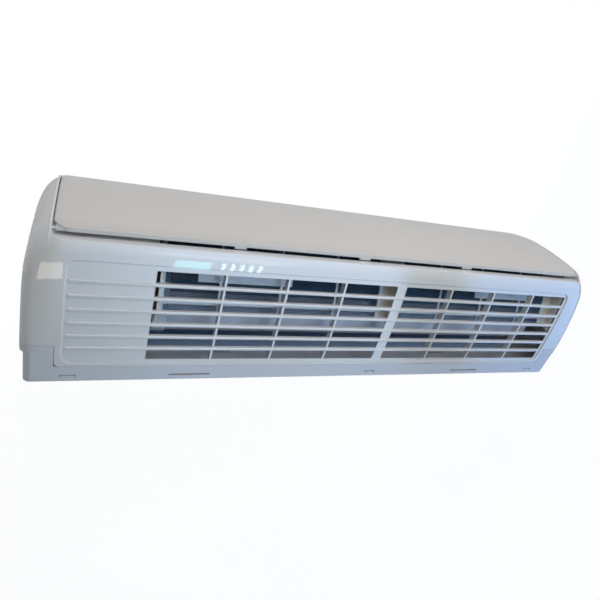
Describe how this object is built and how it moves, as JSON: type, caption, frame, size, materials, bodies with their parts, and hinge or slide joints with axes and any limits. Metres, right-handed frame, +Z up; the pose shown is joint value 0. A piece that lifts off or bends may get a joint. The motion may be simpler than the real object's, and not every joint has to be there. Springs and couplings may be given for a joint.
{
  "type": "mini split indoor unit",
  "caption": "Wall-mounted indoor half of a split air conditioner, with a top intake grille, hinged front panel, closed outlet louver and swinging air vanes.",
  "frame": {"origin": "on the mounting plate's back face, midway along the unit and at its mid height", "axes": "+X to the right as seen from the front, +Y into the wall, +Z up"},
  "size_m": [0.81, 0.189, 0.297],
  "materials": {
    "casing_white": "satin moulded plastic, cool white",
    "panel_white": "smooth moulded plastic, warm white",
    "chassis_white": "moulded plastic, slightly greyer white",
    "louver_white": "smooth moulded plastic",
    "duct_grey": "dull grey moulded plastic",
    "filter_frame": "pale blue-grey moulded plastic",
    "filter_net": "fine dark woven net",
    "rail_cream": "moulded plastic",
    "fins": "blue coated fins",
    "copper": "drawn copper tube",
    "union_brass": "machined",
    "zinc_steel": "zinc coated sheet",
    "screw_steel": "zinc coated",
    "fan_grey": "glass filled plastic",
    "motor_grey": "painted steel shell",
    "bearing_metal": "sintered bronze",
    "rubber_black": "moulded rubber",
    "foam_grey": "closed-cell foam",
    "pan_white": "moulded plastic",
    "box_black": "flame resistant plastic",
    "board_green": "coated circuit board",
    "component_black": "moulded cases",
    "terminal_cream": "moulded plastic",
    "lens_dark": "tinted clear plastic",
    "button_white": "moulded plastic",
    "sensor_copper": "copper case"
  },
  "bodies": {
    "unit": {"mounting_plate": "zinc_steel", "rear_chassis": "chassis_white", "front_casing": "casing_white", "casing_screws": "screw_steel", "screw_caps": "casing_white", "panel_hinge_pins": "casing_white", "receiver_window": "lens_dark", "display_board": "board_green", "centre_rail": "rail_cream", "end_rail_left": "rail_cream", "end_rail_right": "rail_cream", "coil_slab_upper": "fins", "coil_slab_lower": "fins", "coil_slab_rear": "fins", "tube_plates": "zinc_steel", "return_bends": "copper", "apex_strip": "zinc_steel", "coil_end_cover": "filter_frame", "gas_pipe": "copper", "liquid_pipe": "copper", "gas_union": "union_brass", "liquid_union": "union_brass", "pipe_sleeve": "foam_grey", "pipe_clamp": "duct_grey", "fan_bearing": "bearing_metal", "bearing_seat": "rubber_black", "fan_motor": "motor_grey", "motor_clamp": "duct_grey", "drain_pan": "pan_white", "drain_plug": "rubber_black", "drain_spout": "pan_white", "louver_motor": "motor_grey", "electrical_box": "box_black", "box_cover": "zinc_steel", "control_board": "board_green", "board_parts": "component_black", "terminal_block": "terminal_cream", "cord_clamp": "box_black", "room_sensor": "sensor_copper", "filter_frame_left": "filter_frame", "filter_frame_right": "filter_frame", "filter_net_left": "filter_net", "filter_net_right": "filter_net"},
    "panel": {"front_panel": "panel_white"},
    "louver": {"louver": "louver_white"},
    "fan": {"crossflow_fan": "fan_grey", "fan_shaft": "screw_steel", "motor_shaft": "screw_steel"},
    "button": {"emergency_button": "button_white"},
    "vane_left_1": {"vane_left_1": "duct_grey"},
    "vane_left_2": {"vane_left_2": "duct_grey"},
    "vane_left_3": {"vane_left_3": "duct_grey"},
    "vane_left_4": {"vane_left_4": "duct_grey"},
    "vane_link_left": {"vane_link_left": "duct_grey"},
    "vane_right_1": {"vane_right_1": "duct_grey"},
    "vane_right_2": {"vane_right_2": "duct_grey"},
    "vane_right_3": {"vane_right_3": "duct_grey"},
    "vane_right_4": {"vane_right_4": "duct_grey"},
    "vane_link_right": {"vane_link_right": "duct_grey"}
  },
  "joints": [
    {"name": "panel_hinge", "type": "hinge", "parent": "unit", "child": "panel", "pos_m": [0, -0.1826, 0.1168], "axis": [-1, 0, 0], "range_deg": [0, 65]},
    {"name": "louver_hinge", "type": "hinge", "parent": "unit", "child": "louver", "pos_m": [0, -0.10551, -0.11658], "axis": [1, 0, 0], "range_deg": [0, 85]},
    {"name": "fan_spin", "type": "hinge", "parent": "unit", "child": "fan", "pos_m": [0, -0.084, -0.02], "axis": [1, 0, 0], "continuous": true},
    {"name": "button_press", "type": "slide", "parent": "unit", "child": "button", "axis": [0, 1, 0], "range_m": [0, 0.0015], "stiffness_N_per_m": 400},
    {"name": "vane_left_1_swing", "type": "hinge", "parent": "unit", "child": "vane_left_1", "pos_m": [-0.31325, -0.06502, -0.10824], "axis": [0, -0.692, 0.7219], "range_deg": [-35, 35]},
    {"name": "vane_left_2_swing", "type": "hinge", "parent": "unit", "child": "vane_left_2", "pos_m": [-0.23575, -0.06502, -0.10824], "axis": [0, -0.692, 0.7219], "range_deg": [-35, 35]},
    {"name": "vane_left_3_swing", "type": "hinge", "parent": "unit", "child": "vane_left_3", "pos_m": [-0.15825, -0.06502, -0.10824], "axis": [0, -0.692, 0.7219], "range_deg": [-35, 35]},
    {"name": "vane_left_4_swing", "type": "hinge", "parent": "unit", "child": "vane_left_4", "pos_m": [-0.08075, -0.06502, -0.10824], "axis": [0, -0.692, 0.7219], "range_deg": [-35, 35]},
    {"name": "vane_link_left_slide", "type": "slide", "parent": "unit", "child": "vane_link_left", "axis": [1, 0, 0], "range_m": [-0.0052, 0.0052]},
    {"name": "vane_right_1_swing", "type": "hinge", "parent": "unit", "child": "vane_right_1", "pos_m": [-0.00325, -0.06502, -0.10824], "axis": [0, -0.692, 0.7219], "range_deg": [-35, 35]},
    {"name": "vane_right_2_swing", "type": "hinge", "parent": "unit", "child": "vane_right_2", "pos_m": [0.07425, -0.06502, -0.10824], "axis": [0, -0.692, 0.7219], "range_deg": [-35, 35]},
    {"name": "vane_right_3_swing", "type": "hinge", "parent": "unit", "child": "vane_right_3", "pos_m": [0.15175, -0.06502, -0.10824], "axis": [0, -0.692, 0.7219], "range_deg": [-35, 35]},
    {"name": "vane_right_4_swing", "type": "hinge", "parent": "unit", "child": "vane_right_4", "pos_m": [0.22925, -0.06502, -0.10824], "axis": [0, -0.692, 0.7219], "range_deg": [-35, 35]},
    {"name": "vane_link_right_slide", "type": "slide", "parent": "unit", "child": "vane_link_right", "axis": [1, 0, 0], "range_m": [-0.0052, 0.0052]}
  ],
  "couplings": [
    {"joint": "vane_left_2_swing", "follows": "vane_left_1_swing", "ratio": 1},
    {"joint": "vane_left_3_swing", "follows": "vane_left_1_swing", "ratio": 1},
    {"joint": "vane_left_4_swing", "follows": "vane_left_1_swing", "ratio": 1},
    {"joint": "vane_link_left_slide", "follows": "vane_left_1_swing", "m_per_rad": 0.0084506},
    {"joint": "vane_right_2_swing", "follows": "vane_right_1_swing", "ratio": 1},
    {"joint": "vane_right_3_swing", "follows": "vane_right_1_swing", "ratio": 1},
    {"joint": "vane_right_4_swing", "follows": "vane_right_1_swing", "ratio": 1},
    {"joint": "vane_link_right_slide", "follows": "vane_right_1_swing", "m_per_rad": 0.0084506}
  ]
}
